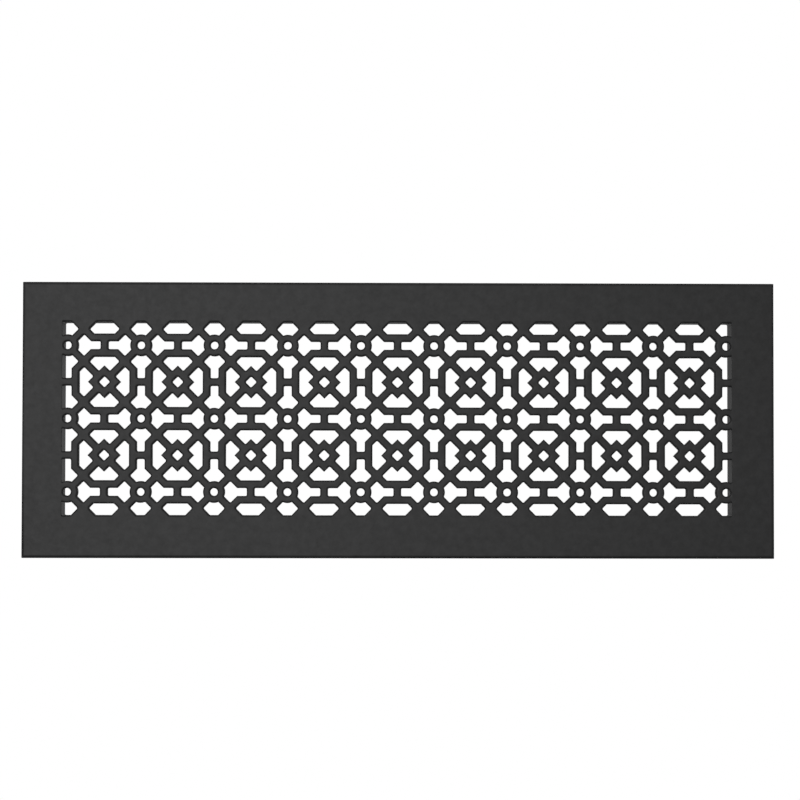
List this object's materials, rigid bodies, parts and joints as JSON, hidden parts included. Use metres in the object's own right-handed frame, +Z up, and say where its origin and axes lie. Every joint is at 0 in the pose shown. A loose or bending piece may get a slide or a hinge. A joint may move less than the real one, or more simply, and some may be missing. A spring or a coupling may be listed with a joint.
{
  "type": "cast aluminium air grille",
  "caption": "Flat rectangular air grille: a plain border round a pierced lattice of octagons, crossed straps, diamonds and small rings, with a shallow drop-in collar behind.",
  "frame": {"origin": "middle of the plate, in the plane of the back of its border, where it seats on the wall", "axes": "+Y out of the back of the plate into the duct, so the front faces -Y; +X along the length, to the right as seen from the front; +Z up"},
  "size_m": [0.559, 0.0233, 0.205],
  "materials": {
    "powder_coat": "satin black powder coat with a fine orange-peel texture, on cast aluminium"
  },
  "bodies": {
    "root": {"grille": "powder_coat"}
  },
  "joints": []
}
